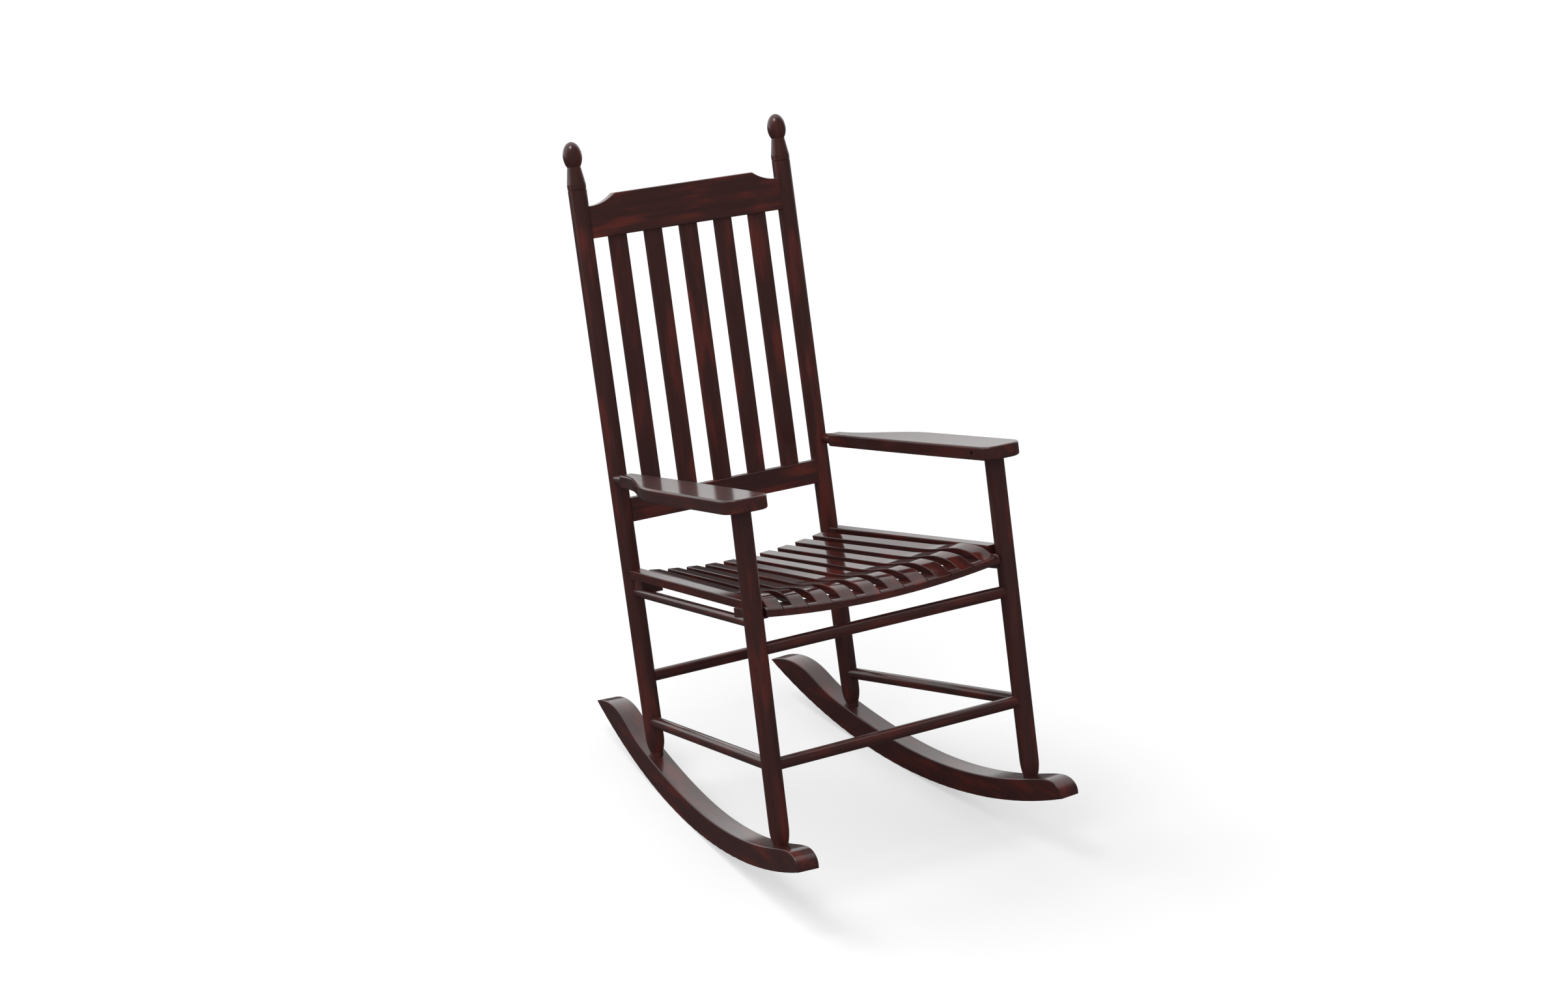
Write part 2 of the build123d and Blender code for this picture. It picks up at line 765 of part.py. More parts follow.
# Legs, posts and rockers
rocker_sizes = (rocker_screw_diameter, rocker_screw_head)
front_rocker_screw = rocker_screw_ends(front_tongue, front_top)
rear_rocker_screw = rocker_screw_ends(rear_tongue, rear_groove)
front_rocker_room = screw_hole(*front_rocker_screw, *rocker_sizes, rocker_depth_front)
rear_rocker_room = screw_hole(*rear_rocker_screw, *rocker_sizes, rocker_depth_rear)
front_socket = bar(front_tongue, front_top, front_foot_diameter + 2 * fit)
rear_socket = bar(rear_tongue, rear_groove, rear_foot_diameter + 2 * fit)
right_pieces["front_leg"] = make_front_leg() - leg_bores - arm_screw_room - front_rocker_room
post_rooms = [*post_bores, rear_rocker_room]
left_rooms = [other_side(room) for room in post_rooms]
pieces["rear_post_right"] = carved(make_rear_post(rear_tongue, rear_groove), post_rooms)
pieces["rear_post_left"] = carved(make_rear_post(flipped(rear_tongue), flipped(rear_groove)), left_rooms)
rocker_rooms = [front_socket, rear_socket, front_rocker_room, rear_rocker_room]
right_pieces["rocker"] = make_rocker() - rocker_rooms

# Seat: cross rails on the seat rods, slats let into them, and screws from below
slat_sizes = (slat_screw_diameter, slat_screw_head)
nose_screw_depth = seat_nose() + nose_screw_back
plain_slat = make_seat_slat()
plain_room = slat_room()
seat_screws = []
front_rail_rooms = []
rear_rail_rooms = []
for index in range(seat_slat_count):
    place = slat_place(index)
    front_ends = slat_screw_ends(index, nose_screw_depth)
    rear_ends = slat_screw_ends(index, rear_rail_middle())
    seat_screws += [screw(*front_ends, *slat_sizes), screw(*rear_ends, *slat_sizes)]
    front_room = screw_hole(*front_ends, *slat_sizes, front_rail_drop)
    rear_room = screw_hole(*rear_ends, *slat_sizes, front_rail_drop)
    front_rail_rooms += [place * plain_room, front_room]
    rear_rail_rooms += [place * plain_room, rear_room]
    pieces[f"seat_slat_{index + 1:02d}"] = carved(place * plain_slat, [front_room, rear_room])

bolt_sizes = (seat_bolt_diameter, seat_bolt_head)
seat_bolts = []
bolt_rooms = []
for y in (front_bolt_depth(), rear_rail_middle()):
    ends = seat_bolt_ends(y)
    seat_bolts.append(screw(*ends, *bolt_sizes))
    bolt_rooms.append(screw_hole(*ends, *bolt_sizes, seat_rod_diameter))
rod_front = seat_rod_point(front_axis(seat_level).Y)
rod_rear = seat_rod_point(rear_axis(seat_level).Y)
rod_room = bar(rod_front, rod_rear, seat_rod_diameter + 2 * fit)
end_rooms = both(rod_room) + both(side_slat(fit))
pieces["seat_front_rail"] = carved(make_front_rail(), front_rail_rooms + end_rooms + both(bolt_rooms[0]))
pieces["seat_rear_rail"] = carved(make_rear_rail(), rear_rail_rooms + end_rooms + both(bolt_rooms[1]))
right_pieces["seat_rod"] -= bolt_rooms
right_pieces["side_seat_slat"] = side_slat(0) - bolt_rooms

for name, piece in right_pieces.items():
    pieces[f"{name}_right"] = piece
    pieces[f"{name}_left"] = other_side(piece)

# Screws, one group for each job
rocker_screws = [screw(*front_rocker_screw, *rocker_sizes), screw(*rear_rocker_screw, *rocker_sizes)]
pieces["rocker_screws"] = Compound(both(rocker_screws[0]) + both(rocker_screws[1]))
pieces["arm_screws"] = Compound(both(screw(*arm_screw, *arm_screw_sizes)))
pieces["seat_slat_screws"] = Compound(seat_screws)
pieces["seat_rod_screws"] = Compound(both(seat_bolts[0]) + both(seat_bolts[1]))

# Rest pose, centred over the floor
resting = {name: lean * piece for name, piece in pieces.items()}
extent = Compound(list(resting.values())).bounding_box()
centred = Pos(0, -(extent.min.Y + extent.max.Y) / 2, 0)
os.makedirs("parts", exist_ok=True)
for name, piece in resting.items():
    export_step(centred * piece, f"parts/{name}.step")
    print(name, round(piece.volume), len(piece.solids()))
print("Y shift", round(centred.position.Y, 3), "extent", extent)
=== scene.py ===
"""Looks of a slat-back mahogany rocking chair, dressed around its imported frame.

The frame brings every wooden piece at its real size, in metres, +Z up and the front towards -Y. This
script stains and lacquers those pieces, turns wood screws with threads and cross recesses in place of
the plain ones, lays a pale floor, lights it softly and stands the camera at the photograph's view.
"""

from __future__ import annotations

import json
import logging
import math
from collections.abc import Callable
from dataclasses import dataclass, field
from enum import Enum
from typing import Any, Union

import bmesh
import bpy
from mathutils import Matrix, Vector

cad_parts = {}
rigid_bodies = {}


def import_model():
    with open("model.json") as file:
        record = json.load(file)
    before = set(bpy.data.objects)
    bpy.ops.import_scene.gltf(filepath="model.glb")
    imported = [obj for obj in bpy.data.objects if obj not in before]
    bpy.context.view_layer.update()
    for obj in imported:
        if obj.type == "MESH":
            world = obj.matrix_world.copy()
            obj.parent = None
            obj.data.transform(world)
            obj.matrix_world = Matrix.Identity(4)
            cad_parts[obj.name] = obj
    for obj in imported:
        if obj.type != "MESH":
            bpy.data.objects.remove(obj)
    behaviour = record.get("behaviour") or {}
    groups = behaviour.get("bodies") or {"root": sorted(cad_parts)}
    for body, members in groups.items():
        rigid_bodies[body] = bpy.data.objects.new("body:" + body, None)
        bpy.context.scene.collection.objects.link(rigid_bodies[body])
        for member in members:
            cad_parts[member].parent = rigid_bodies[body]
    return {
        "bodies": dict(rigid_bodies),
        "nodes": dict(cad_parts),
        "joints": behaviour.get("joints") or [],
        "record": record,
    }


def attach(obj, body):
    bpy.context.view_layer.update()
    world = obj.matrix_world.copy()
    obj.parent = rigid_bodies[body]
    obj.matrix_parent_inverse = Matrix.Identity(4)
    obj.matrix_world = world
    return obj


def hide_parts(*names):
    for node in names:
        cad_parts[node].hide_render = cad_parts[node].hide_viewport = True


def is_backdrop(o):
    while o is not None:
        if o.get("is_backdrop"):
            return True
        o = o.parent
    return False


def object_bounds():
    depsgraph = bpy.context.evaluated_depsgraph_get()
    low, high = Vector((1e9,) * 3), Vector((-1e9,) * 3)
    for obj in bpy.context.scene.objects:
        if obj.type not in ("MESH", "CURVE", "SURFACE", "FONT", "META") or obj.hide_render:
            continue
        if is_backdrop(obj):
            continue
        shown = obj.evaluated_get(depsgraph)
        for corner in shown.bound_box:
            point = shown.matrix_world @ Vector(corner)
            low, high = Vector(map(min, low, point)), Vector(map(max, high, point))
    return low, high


LOG = logging.getLogger("rocking_chair")

PHOTO_WIDTH = 2408
REST_LEAN = math.radians(14.4)
QUARTER_TURN = math.pi / 2
FULL_TURN = 2 * math.pi
BODY = "root"
MERGE_DISTANCE = 1e-6
PLACE_DIGITS = 4
NOISE_MIDDLE = 0.5
WHITE = (1.0, 1.0, 1.0)
ORIGIN = (0.0, 0.0, 0.0)
AXIS_Z = (0.0, 0.0, 1.0)

Colour = tuple[float, float, float]
Triple = tuple[float, float, float]
Span = tuple[float, float]
Value = Union["Wire", float, Colour]


class Wire:
    """A shader socket whose arithmetic adds Math nodes to its tree."""

    def __init__(self, craft: ShaderCraft, socket: bpy.types.NodeSocket) -> None:
        """Wraps one output socket.

        Args:
            craft: the tree that new nodes go into.
            socket: the output socket that this wire leaves from.
        """
        self.craft = craft
        self.socket = socket

    def _math(self, operation: str, first: Value, second: Value) -> Wire:
        """One Math node over two values."""
        return self.craft.add("ShaderNodeMath", {"operation": operation}, {0: first, 1: second})

    def __add__(self, other: Value) -> Wire:
        """Sum of this value and another."""
        return self._math("ADD", self, other)

    def __radd__(self, other: Value) -> Wire:
        """Sum with a plain number on the left."""
        return self._math("ADD", other, self)

    def __sub__(self, other: Value) -> Wire:
        """Difference of this value and another."""
        return self._math("SUBTRACT", self, other)

    def __rsub__(self, other: Value) -> Wire:
        """Difference from a plain number on the left."""
        return self._math("SUBTRACT", other, self)

    def __mul__(self, other: Value) -> Wire:
        """Product of this value and another."""
        return self._math("MULTIPLY", self, other)

    def __rmul__(self, other: Value) -> Wire:
        """Product with a plain number on the left."""
        return self._math("MULTIPLY", other, self)


class Ray(Enum):
    """Kinds of ray that a surface or the sky can tell apart."""

    CAMERA = "Is Camera Ray"
    GLOSSY = "Is Glossy Ray"
    TRANSMISSION = "Is Transmission Ray"


class ShaderCraft:
    """Builds one node tree from typed nodes, settings and socket values."""

    def __init__(self, tree: bpy.types.NodeTree) -> None:
        """Starts on an empty tree.

        Args:
            tree: the node tree of a material or a world.
        """
        self.tree = tree
        self.tree.nodes.clear()

    def add(
        self,
        kind: str,
        settings: dict[str, Any] | None = None,
        inputs: dict[int | str, Value] | None = None,
        output: int | str = 0,
    ) -> Wire:
        """Adds one node.

        Args:
            kind: the node's type name.
            settings: attributes, set before anything is linked.
            inputs: numbers, colours or wires for the node's sockets, by name or index.
            output: the output socket to return.

        Returns:
            A wire from the chosen output.
        """
        node = self.tree.nodes.new(kind)
        for name, value in (settings or {}).items():
            setattr(node, name, value)
        for key, value in (inputs or {}).items():
            if isinstance(value, Wire):
                self.tree.links.new(value.socket, node.inputs[key])
            else:
                wide = isinstance(value, tuple) and node.inputs[key].type == "RGBA"
                node.inputs[key].default_value = (*value, 1.0) if wide else value
        return Wire(self, node.outputs[output] if node.outputs else node.inputs[0])

    def mix(self, factor: Value, first: Value, second: Value) -> Wire:
        """Mixes two colours.

        Args:
            factor: share of the second colour.
            first: the colour at factor 0.
            second: the colour at factor 1.

        Returns:
            The mixed colour.
        """
        settings = {"data_type": "RGBA", "blend_type": "MIX"}
        return self.add("ShaderNodeMix", settings, {0: factor, 6: first, 7: second}, 2)

    def band(self, value: Wire, span: Span) -> Wire:
        """Smooth step of a value, from 0 at the span's low end to 1 at its high end."""
        settings = {"interpolation_type": "SMOOTHSTEP"}
        return self.add("ShaderNodeMapRange", settings, {0: value, 1: span[0], 2: span[1], 3: 0.0, 4: 1.0})

    def ray(self, kind: Ray) -> Wire:
        """1 for rays of a kind, 0 for all others."""
        return self.add("ShaderNodeLightPath", output=kind.value)


def blank_material(name: str) -> tuple[bpy.types.Material, ShaderCraft]:
    """Starts a material.

    Args:
        name: the material's name.

    Returns:
        The material, and the craft that fills its empty tree.
    """
    material = bpy.data.materials.new(name)
    material.use_nodes = True
    return material, ShaderCraft(material.node_tree)


class GrainRun(Enum):
    """Turn, about X, Y and Z, that lays a pattern's own Z along the grain of a piece."""

    UP_THE_BACK = (-REST_LEAN, 0.0, 0.0)
    ALONG_THE_SEAT = (-(QUARTER_TURN + REST_LEAN), 0.0, 0.0)
    ACROSS = (0.0, QUARTER_TURN, 0.0)
    ALONG_THE_FLOOR = (-QUARTER_TURN, 0.0, 0.0)


@dataclass(frozen=True)
class Figure:
    """One figure of the grain: noise with a width across and a length along the wood, in metres."""

    width: float
    length: float
    detail: float
    bend: float = 0.0
    coarseness: float = 0.55

    def draw(self, craft: ShaderCraft, grain: GrainRun, shift: Triple) -> Wire:
        """Draws the figure out along the grain.

        Args:
            craft: the material's tree.
            grain: the way that the grain runs.
            shift: where the pattern starts.

        Returns:
            The noise, around one half.
        """
        laid = craft.add(
            "ShaderNodeMapping",
            {"vector_type": "TEXTURE"},
            {
                "Vector": craft.add("ShaderNodeTexCoord", output="Object"),
                "Location": shift,
                "Rotation": grain.value,
                "Scale": (self.width, self.width, self.length),
            },
        )
        return craft.add(
            "ShaderNodeTexNoise",
            None,
            {
                "Vector": laid,
                "Scale": 1.0,
                "Detail": self.detail,
                "Roughness": self.coarseness,
                "Distortion": self.bend,
            },
        )


@dataclass(frozen=True)
class Mahogany:
    """Dark red-brown stain on straight-grained wood, under satin lacquer."""

    name: str
    grain: GrainRun
    shift: Triple = ORIGIN
    warmth: float = 0.40
    umber: Colour = (0.031, 0.0105, 0.0098)
    russet: Colour = (0.050, 0.0135, 0.0115)
    ember: Colour = (0.150, 0.0185, 0.0100)
    cloud: Figure = Figure(0.026, 0.13, detail=2.0, bend=0.2)
    streak: Figure = Figure(0.0048, 0.22, detail=3.0, bend=0.2)
    fibre: Figure = Figure(0.0010, 0.045, detail=2.0)
    pore: Figure = Figure(0.0005, 0.0065, detail=1.0)
    warm_cloud: float = 0.80
    warm_streak: float = 0.20
    warm_span: Span = (0.47, 0.69)
    light_cloud: float = 0.25
    light_streak: float = 0.40
    light_fibre: float = 0.35
    light_span: Span = (0.30, 0.70)
    fleck_span: Span = (0.64, 0.74)
    fleck_shade: float = 0.40
    roughness: float = 0.42
    fibre_sheen: float = 0.10
    fleck_sheen: float = 0.08
    specular: float = 0.20
    coat: float = 1.0
    coat_roughness: float = 0.13
    grain_height: float = 0.0003
    grain_strength: float = 0.12
    fibre_relief: float = 0.5
    streak_relief: float = 0.3
    fleck_relief: float = 0.6

    def make(self) -> bpy.types.Material:
        """Builds the material.

        Returns:
            The stained and lacquered wood.
        """
        material, craft = blank_material(self.name)
        figures = (self.cloud, self.streak, self.fibre, self.pore)
        cloud, streak, fibre, pore = (figure.draw(craft, self.grain, self.shift) for figure in figures)
        warm = craft.band(cloud * self.warm_cloud + streak * self.warm_streak, self.warm_span)
        tint = cloud * self.light_cloud + streak * self.light_streak + fibre * self.light_fibre
        light = craft.band(tint, self.light_span)
        fleck = craft.band(pore, self.fleck_span)
        stain = craft.mix(light, self.umber, self.russet)
        stain = craft.mix(warm * self.warmth, stain, self.ember)
        stain = craft.mix(fleck * self.fleck_shade, stain, self.umber)
        sheen = self.roughness + (fibre - NOISE_MIDDLE) * self.fibre_sheen + fleck * self.fleck_sheen
        relief = fibre * self.fibre_relief + streak * self.streak_relief - fleck * self.fleck_relief
        normal = craft.add(
            "ShaderNodeBump",
            None,
            {"Strength": self.grain_strength, "Distance": self.grain_height, "Height": relief},
        )
        surface = craft.add(
            "ShaderNodeBsdfPrincipled",
            None,
            {
                "Base Color": stain,
                "Roughness": sheen,
                "Specular IOR Level": self.specular,
                "Normal": normal,
                "Coat Weight": self.coat,
                "Coat Roughness": self.coat_roughness,
            },
        )
        craft.add("ShaderNodeOutputMaterial", None, {"Surface": surface})
        return material


@dataclass(frozen=True)
class ZincSteel:
    """Zinc-plated screw steel, a little dulled and specked."""

    name: str = "zinc_steel_plate"
    tone: Colour = (0.34, 0.32, 0.29)
    shade: Colour = (0.17, 0.16, 0.15)
    speck_size: float = 0.0007
    speck_detail: float = 2.0
    speck_span: Span = (0.35, 0.65)
    speck_sheen: float = 0.2
    roughness: float = 0.28

    def make(self) -> bpy.types.Material:
        """Builds the material.

        Returns:
            The plated steel.
        """
        material, craft = blank_material(self.name)
        speck = craft.add(
            "ShaderNodeTexNoise",
            None,
            {
                "Vector": craft.add("ShaderNodeTexCoord", output="Object"),
                "Scale": 1.0 / self.speck_size,
                "Detail": self.speck_detail,
            },
        )
        plating = craft.mix(craft.band(speck, self.speck_span), self.shade, self.tone)
        sheen = self.roughness + speck * self.speck_sheen
        surface = craft.add(
            "ShaderNodeBsdfPrincipled",
            None,
            {"Base Color": plating, "Metallic": 1.0, "Roughness": sheen},
        )
        craft.add("ShaderNodeOutputMaterial", None, {"Surface": surface})
        return material


@dataclass(frozen=True)
class FloorPaper:
    """Pale paper that the camera sees as white where no shadow falls, and the lacquer as dim."""

    name: str = "floor_paper"
    tone: Colour = (0.46, 0.46, 0.46)
    gleam: Colour = (0.045, 0.045, 0.045)
    lift: float = 0.50

    def make(self) -> bpy.types.Material:
        """Builds the material.

        Returns:
            The paper.
        """
        material, craft = blank_material(self.name)
        tone = craft.mix(craft.ray(Ray.GLOSSY), self.tone, self.gleam)
        paper = craft.add("ShaderNodeBsdfDiffuse", None, {"Color": tone})
        white = craft.ray(Ray.CAMERA) + craft.ray(Ray.TRANSMISSION)
        lift = craft.add("ShaderNodeEmission", None, {"Color": WHITE, "Strength": white * self.lift})
        surface = craft.add("ShaderNodeAddShader", None, {0: paper, 1: lift})
        craft.add("ShaderNodeOutputMaterial", None, {"Surface": surface})
        return material


@dataclass(frozen=True)
class StudioSky:
    """An even fill of light, with a gleam that is white behind the chair and dim before it."""

    name: str = "studio_sky"
    fill: float = 0.66
    room_shade: float = 0.08
    gleam_span: Span = (-0.10, 0.70)
    gleam_rise: float = 0.5

    def make(self) -> bpy.types.World:
        """Builds the world.

        Returns:
            The sky.
        """
        world = bpy.data.worlds.new(self.name)
        world.use_nodes = True
        craft = ShaderCraft(world.node_tree)
        way = craft.add("ShaderNodeTexCoord", output="Generated")
        depth = craft.add("ShaderNodeSeparateXYZ", None, {0: way}, "Y")
        height = craft.add("ShaderNodeSeparateXYZ", None, {0: way}, "Z")
        bright = craft.band(depth + height * self.gleam_rise, self.gleam_span)
        gleam = self.room_shade + bright * (1.0 - self.room_shade)
        white = craft.ray(Ray.CAMERA) + craft.ray(Ray.TRANSMISSION)
        mirrored = craft.ray(Ray.GLOSSY)
        strength = white + mirrored * gleam + (1.0 - white - mirrored) * self.fill
        light = craft.add("ShaderNodeBackground", None, {"Color": WHITE, "Strength": strength})
        craft.add("ShaderNodeOutputWorld", None, {"Surface": light})
        return world


def flood(seeds: set[Any], beside: Callable[[Any], set[Any]]) -> set[Any]:
    """Gathers everything that is joined to some first items.

    Args:
        seeds: the items to start from.
        beside: gives the items next to one item.

    Returns:
        The seeds and all that they lead to.
    """
    reached = set(seeds)
    rim = list(seeds)
    while rim:
        fresh = beside(rim.pop()) - reached
        reached |= fresh
        rim.extend(fresh)
    return reached


def verts_beside(vert: bmesh.types.BMVert) -> set[bmesh.types.BMVert]:
    """The vertices that an edge joins to one."""
    return {edge.other_vert(vert) for edge in vert.link_edges}


def faces_beside(face: bmesh.types.BMFace) -> set[bmesh.types.BMFace]:
    """The faces that share an edge with one."""
    return {side for edge in face.edges for side in edge.link_faces}


class ScrewRun(Enum):
    """The way that the screws of a set are driven."""

    UP = "up the back"
    OUT = "out to the side"

    def way(self, place: Vector) -> Vector:
        """Rough direction from head to tip of a screw at a place."""
        if self is ScrewRun.OUT:
            return Vector((math.copysign(1.0, place.x), 0.0, 0.0))
        return Vector((0.0, math.sin(REST_LEAN), math.cos(REST_LEAN)))


@dataclass(frozen=True)
class Screw:
    """The place and the sizes of one screw, as its solid gives them."""

    head: Vector
    tip: Vector
    head_radius: float
    head_height: float
    shank_radius: float

    @property
    def length(self) -> float:
        """Distance from the outside of the head to the tip."""
        return (self.tip - self.head).length

    def place(self) -> Matrix:
        """The move that brings a screw from its own axis to its place."""
        turn = (self.tip - self.head).to_track_quat("Z", "Y")
        return Matrix.Translation(self.head) @ turn.to_matrix().to_4x4()


@dataclass
class ScrewSet:
    """Wood screws of one job: pan heads with a cross recess, and a threaded shank."""

    node: str
    run: ScrewRun
    sides: int = 32
    dome_share: float = 0.86
    dome_height: float = 0.0004
    edge_height: float = 0.00128
    recess_depth: float = 0.0016
    recess_rim: float = 0.0002
    recess_reach: float = 0.58
    recess_floor: float = 0.62
    recess_slack: float = 1.01
    blade_half: float = 0.27
    core_share: float = 0.70
    point_length: float = 0.0035
    thread_pitch: float = 0.0016
    thread_steps: int = 16
    thread_foot: float = 0.35
    thread_root: float = 0.94
    face_depth: float = 0.0003
    finish: ZincSteel = ZincSteel()

    def build(self, frame: dict[str, Any]) -> bpy.types.Object:
        """Models the screws where their plain solids are.

        Args:
            frame: the loaded frame.

        Returns:
            One object with all screws of the set.
        """
        shape = bmesh.new()
        for screw in self._find(frame["nodes"][self.node]):
            first = len(shape.verts)
            self._turn_body(shape, screw)
            self._wind_thread(shape, screw)
            shape.verts.ensure_lookup_table()
            bmesh.ops.transform(shape, matrix=screw.place(), verts=shape.verts[first:])
        mesh = bpy.data.meshes.new(f"{self.node}_threaded")
        shape.to_mesh(mesh)
        shape.free()
        mesh.materials.append(self.finish.make())
        piece = bpy.data.objects.new(mesh.name, mesh)
        bpy.context.scene.collection.objects.link(piece)
        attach(piece, BODY)
        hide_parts(self.node)
        return piece

    def _find(self, node: bpy.types.Object) -> list[Screw]:
        """Reads the screws from a merged copy of their solids.

        Args:
            node: the object of the plain screws.

        Returns:
            One entry for each screw.
        """
        copy = bmesh.new()
        copy.from_mesh(node.data)
        bmesh.ops.remove_doubles(copy, verts=copy.verts, dist=MERGE_DISTANCE)
        left = set(copy.verts)
        screws = []
        while left:
            group = flood({next(iter(left))}, verts_beside)
            left -= group
            screws.append(self._measure([vert.co.copy() for vert in group]))
        copy.free()
        return sorted(screws, key=lambda screw: tuple(round(value, PLACE_DIGITS) for value in screw.head))

    def _measure(self, points: list[Vector]) -> Screw:
        """Finds the axis and the sizes of one screw.

        Args:
            points: the corners of its solid.

        Returns:
            The screw's place and sizes.
        """
        way = self.run.way(sum(points, Vector()) / len(points))
        heights = [point.dot(way) for point in points]
        face = [p for p, height in zip(points, heights) if height < min(heights) + self.face_depth]
        end = [p for p, height in zip(points, heights) if height > max(heights) - self.face_depth]
        head = sum(face, Vector()) / len(face)
        tip = sum(end, Vector()) / len(end)
        head_radius = max((p - head).length for p in face)
        shank_radius = max((p - tip).length for p in end)
        axis = (tip - head).normalized()
        wide = [p for p in points if (p - head).cross(axis).length > (head_radius + shank_radius) / 2]
        head_height = max((p - head).dot(axis) for p in wide)
        return Screw(head, tip, head_radius, head_height, shank_radius)

    def _turn_body(self, shape: bmesh.types.BMesh, screw: Screw) -> None:
        """Turns head and core about the Z axis and shapes the cross recess.

        Args:
            shape: the mesh under construction.
            screw: the sizes to keep to.
        """
        first = len(shape.verts)
        reach = screw.head_radius * self.recess_reach
        core = screw.shank_radius * self.core_share
        outline = [
            (0.0, self.recess_depth),
            (reach * self.recess_floor, self.recess_depth),
            (reach, self.recess_rim),
            (screw.head_radius * self.dome_share, self.dome_height),
            (screw.head_radius, self.edge_height),
            (screw.head_radius, screw.head_height),
            (core, screw.head_height),
            (core, screw.length - self.point_length),
            (0.0, screw.length),
        ]
        verts = [shape.verts.new((radius, 0.0, height)) for radius, height in outline]
        edges = [shape.edges.new(ends) for ends in zip(verts, verts[1:])]
        bmesh.ops.spin(
            shape,
            geom=verts + edges,
            cent=ORIGIN,
            axis=AXIS_Z,
            angle=FULL_TURN,
            steps=self.sides,
            use_merge=True,
        )
        shape.verts.ensure_lookup_table()
        bmesh.ops.remove_doubles(shape, verts=shape.verts[first:], dist=MERGE_DISTANCE)
        shape.verts.ensure_lookup_table()
        fresh = shape.verts[first:]
        for vert in fresh:
            flat = math.hypot(vert.co.x, vert.co.y)
            if MERGE_DISTANCE < flat < reach * self.recess_slack and vert.co.z <= self.recess_depth:
                vert.co.xy *= self._blade(math.atan2(vert.co.y, vert.co.x))
        faces = {item for vert in fresh for item in vert.link_faces}
        bmesh.ops.recalc_face_normals(shape, faces=list(faces))

    def _blade(self, angle: float) -> float:
        """How far the cross reaches at an angle, as a share of its blades' reach."""
        aside = abs((angle + QUARTER_TURN / 2) % QUARTER_TURN - QUARTER_TURN / 2)
        return min(1.0, self.blade_half / max(math.sin(aside), self.blade_half))

    def _wind_thread(self, shape: bmesh.types.BMesh, screw: Screw) -> None:
        """Winds the thread's ridge around the core.

        Args:
            shape: the mesh under construction.
            screw: the sizes to keep to.
        """
        root = screw.shank_radius * self.core_share * self.thread_root
        foot = self.thread_pitch * self.thread_foot
        start = screw.head_height + self.thread_pitch
        turns = int((screw.length - self.point_length - start) / self.thread_pitch)
        ridge = [(root, start - foot), (screw.shank_radius, start), (root, start + foot)]
        verts = [shape.verts.new((radius, 0.0, height)) for radius, height in ridge]
        section = shape.faces.new(verts)
        wound = bmesh.ops.spin(
            shape,
            geom=[section, *section.edges, *verts],
            cent=ORIGIN,
            axis=AXIS_Z,
            dvec=(0.0, 0.0, self.thread_pitch / self.thread_steps),
            angle=FULL_TURN * turns,
            steps=self.thread_steps * turns,
        )
        ends = {item for item in wound["geom_last"] if isinstance(item, bmesh.types.BMFace)} | {section}
        bmesh.ops.recalc_face_normals(shape, faces=list(flood(ends, faces_beside)))


Stock = list[tuple[Mahogany, list[str]]]


def pair(name: str) -> list[str]:
    """The left and right nodes of a piece."""
    return [f"{name}_left", f"{name}_right"]


def numbered(name: str, count: int, digits: int = 1) -> list[str]:
    """The nodes of a row of pieces."""
    return [f"{name}_{index:0{digits}d}" for index in range(1, count + 1)]


class SubAssembly:
    """Pieces of the chair that go together."""

    def stock(self) -> Stock:
        """The wooden pieces, by the finish that they get."""
        raise NotImplementedError

    def screws(self) -> list[ScrewSet]:
        """The screws to model, none where a sub-assembly names none."""
        return []

    def build(self, frame: dict[str, Any]) -> None:
        """Models the sub-assembly's screws.

        Args:
            frame: the loaded frame.
        """
        for screw_set in self.screws():
            piece = screw_set.build(frame)
            LOG.info("%s: %s built", type(self).__name__, piece.name)

    def dress(self, frame: dict[str, Any]) -> None:
        """Stains and lacquers the wooden pieces.

        Args:
            frame: the loaded frame.
        """
        for finish, names in self.stock():
            material = finish.make()
            for name in names:
                mesh = frame["nodes"][name].data
                mesh.materials.clear()
                mesh.materials.append(material)
                LOG.info("%s: %s in %s", type(self).__name__, name, material.name)


@dataclass
class Rockers(SubAssembly):
    """The bow rockers, screwed to legs and posts from below."""

    wood: Mahogany = Mahogany("rocker_mahogany", GrainRun.ALONG_THE_FLOOR)
    thread_pitch: float = 0.0022

    def stock(self) -> Stock:
        """Both rockers."""
        return [(self.wood, pair("rocker"))]

    def screws(self) -> list[ScrewSet]:
        """The long screws from under the rockers."""
        return [ScrewSet("rocker_screws", ScrewRun.UP, thread_pitch=self.thread_pitch)]


@dataclass
class Uprights(SubAssembly):
    """The front legs, and the rear posts with their finials."""

    leg_wood: Mahogany = Mahogany("leg_mahogany", GrainRun.UP_THE_BACK)
    post_wood: Mahogany = Mahogany("post_mahogany", GrainRun.UP_THE_BACK, (0.3, 0.1, 0.2))

    def stock(self) -> Stock:
        """Legs and posts."""
        return [(self.leg_wood, pair("front_leg")), (self.post_wood, pair("rear_post"))]


@dataclass
class Back(SubAssembly):
    """The crest rail, the lower rail and the flat slats between them."""

    slat_count: int = 5
    slat_wood: Mahogany = Mahogany("back_slat_mahogany", GrainRun.UP_THE_BACK, (0.7, 0.4, 0.5))
    rail_wood: Mahogany = Mahogany("rail_mahogany", GrainRun.ACROSS, warmth=0.55)

    def stock(self) -> Stock:
        """Slats and rails."""
        slats = numbered("back_slat", self.slat_count)
        return [(self.slat_wood, slats), (self.rail_wood, ["crest_rail", "lower_back_rail"])]


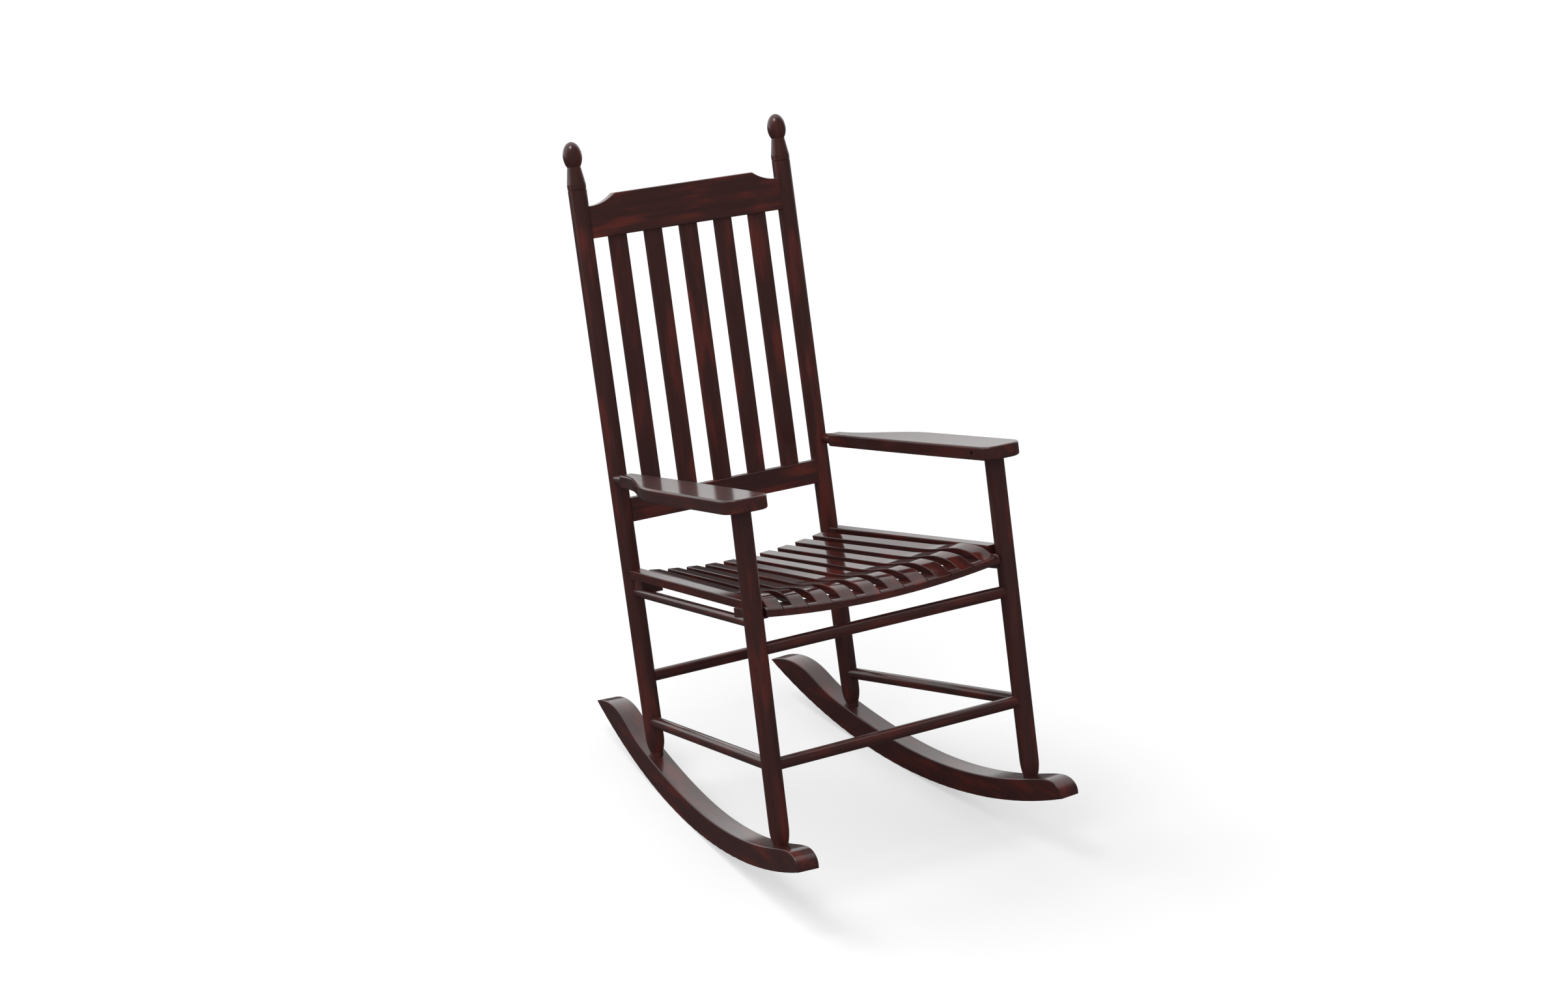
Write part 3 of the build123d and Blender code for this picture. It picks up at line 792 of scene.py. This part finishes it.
@dataclass
class Stretchers(SubAssembly):
    """The round rods between legs and posts."""

    cross_wood: Mahogany = Mahogany("cross_stretcher_mahogany", GrainRun.ACROSS, (0.9, 0.3, 0.6))
    side_wood: Mahogany = Mahogany("side_stretcher_mahogany", GrainRun.ALONG_THE_SEAT, (0.4, 0.4, 0.8))

    def stock(self) -> Stock:
        """Cross stretchers and side stretchers."""
        crossing = ["front_stretcher_upper", "front_stretcher_lower", "rear_stretcher"]
        return [(self.cross_wood, crossing), (self.side_wood, pair("side_stretcher"))]


@dataclass
class Seat(SubAssembly):
    """The curved slats on their two rails and the rods that carry them."""

    slat_count: int = 10
    slat_digits: int = 2
    slat_wood: Mahogany = Mahogany(
        "seat_slat_mahogany", GrainRun.ALONG_THE_SEAT, (0.2, 0.6, 0.3), specular=0.0, coat_roughness=0.08
    )
    rail_wood: Mahogany = Mahogany("seat_rail_mahogany", GrainRun.ACROSS, (0.5, 0.2, 0.1))
    rod_wood: Mahogany = Mahogany("seat_rod_mahogany", GrainRun.ALONG_THE_SEAT, (0.1, 0.7, 0.8))

    def stock(self) -> Stock:
        """Slats, rails and rods."""
        slats = numbered("seat_slat", self.slat_count, self.slat_digits) + pair("side_seat_slat")
        rails = ["seat_front_rail", "seat_rear_rail"]
        return [(self.slat_wood, slats), (self.rail_wood, rails), (self.rod_wood, pair("seat_rod"))]

    def screws(self) -> list[ScrewSet]:
        """The screws from below into slats and rails."""
        return [ScrewSet("seat_slat_screws", ScrewRun.UP), ScrewSet("seat_rod_screws", ScrewRun.UP)]


@dataclass
class Arms(SubAssembly):
    """The flat arms, with a screw in each one's inner side."""

    wood: Mahogany = Mahogany("arm_mahogany", GrainRun.ALONG_THE_SEAT)

    def stock(self) -> Stock:
        """Both arms."""
        return [(self.wood, pair("arm"))]

    def screws(self) -> list[ScrewSet]:
        """The screws in the arms' inner sides."""
        return [ScrewSet("arm_screws", ScrewRun.OUT)]


@dataclass
class Lamp:
    """One soft square lamp of the studio."""

    name: str
    place: Triple
    size: float
    power: float

    def hang(self, target: Vector) -> None:
        """Hangs the lamp.

        Args:
            target: the point that it faces.
        """
        data = bpy.data.lights.new(self.name, "AREA")
        data.shape = "SQUARE"
        data.size = self.size
        data.energy = self.power
        hang_lamp(data, Vector(self.place), target)


@dataclass
class Daylight:
    """Even light from one side, as from a far and wide window, too soft to show as a gleam."""

    name: str
    side: Triple
    spread: float
    strength: float

    def hang(self, target: Vector) -> None:
        """Lets the light in.

        Args:
            target: the point that it falls on.
        """
        data = bpy.data.lights.new(self.name, "SUN")
        data.angle = math.radians(self.spread)
        data.energy = self.strength
        lamp = hang_lamp(data, target + Vector(self.side), target)
        lamp.visible_glossy = False


def hang_lamp(data: bpy.types.Light, place: Vector, target: Vector) -> bpy.types.Object:
    """Puts a light into the scene.

    Args:
        data: the light.
        place: where it hangs.
        target: the point that it faces.

    Returns:
        The light's object.
    """
    lamp = bpy.data.objects.new(data.name, data)
    lamp.location = place
    lamp.rotation_euler = (target - place).to_track_quat("-Z", "Y").to_euler()
    bpy.context.scene.collection.objects.link(lamp)
    return lamp


@dataclass
class Studio:
    """The pale floor, the soft light and the camera."""

    floor_half: float = 6.2
    paper: FloorPaper = FloorPaper()
    sky: StudioSky = StudioSky()
    focal_px: float = 4400.0
    sensor: float = 36.0
    camera_place: Triple = (-2.4884, -4.17265, 2.4628)
    camera_azimuth: float = -30.42442
    camera_elevation: float = 21.07984
    lamps: list[Lamp | Daylight] = field(
        default_factory=lambda: [
            Daylight("window_light", (-1.2, 2.0, 2.4), spread=30.0, strength=1.3),
            Daylight("room_light", (-1.6, -2.4, 1.9), spread=70.0, strength=0.9),
            Lamp("top_lamp", (-1.15, 0.05, 3.5), size=0.9, power=20.0),
        ]
    )

    def build(self, middle: Vector) -> None:
        """Sets up everything around the chair.

        Args:
            middle: the middle of the chair.
        """
        self._lay_floor()
        bpy.context.scene.world = self.sky.make()
        for lamp in self.lamps:
            lamp.hang(middle)
        self._stand_camera()
        bpy.context.scene.view_settings.view_transform = "Standard"

    def _lay_floor(self) -> None:
        """Lays the pale floor."""
        shape = bmesh.new()
        bmesh.ops.create_grid(shape, x_segments=1, y_segments=1, size=self.floor_half)
        mesh = bpy.data.meshes.new("studio_floor")
        shape.to_mesh(mesh)
        shape.free()
        mesh.materials.append(self.paper.make())
        floor = bpy.data.objects.new("studio_floor", mesh)
        bpy.context.scene.collection.objects.link(floor)
        floor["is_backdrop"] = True

    def _stand_camera(self) -> None:
        """Stands the camera at the photograph's point of view."""
        azimuth = math.radians(self.camera_azimuth)
        elevation = math.radians(self.camera_elevation)
        level = math.cos(elevation)
        back = Vector((math.sin(azimuth) * level, -math.cos(azimuth) * level, math.sin(elevation)))
        data = bpy.data.cameras.new("photo_camera")
        data.sensor_fit = "HORIZONTAL"
        data.sensor_width = self.sensor
        data.lens = self.sensor * self.focal_px / PHOTO_WIDTH
        camera = bpy.data.objects.new("photo_camera", data)
        camera.location = self.camera_place
        camera.rotation_euler = (-back).to_track_quat("-Z", "Y").to_euler()
        bpy.context.scene.collection.objects.link(camera)
        bpy.context.scene.camera = camera


def main() -> None:
    """Builds and dresses the chair and sets up the studio."""
    logging.basicConfig(level=logging.INFO, format="%(name)s: %(message)s")
    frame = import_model()
    cad_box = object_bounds()
    for sub_assembly in (Rockers(), Uprights(), Back(), Stretchers(), Seat(), Arms()):
        sub_assembly.build(frame)
        sub_assembly.dress(frame)
    Studio().build((cad_box[0] + cad_box[1]) / 2)


if __name__ == "__main__":
    main()
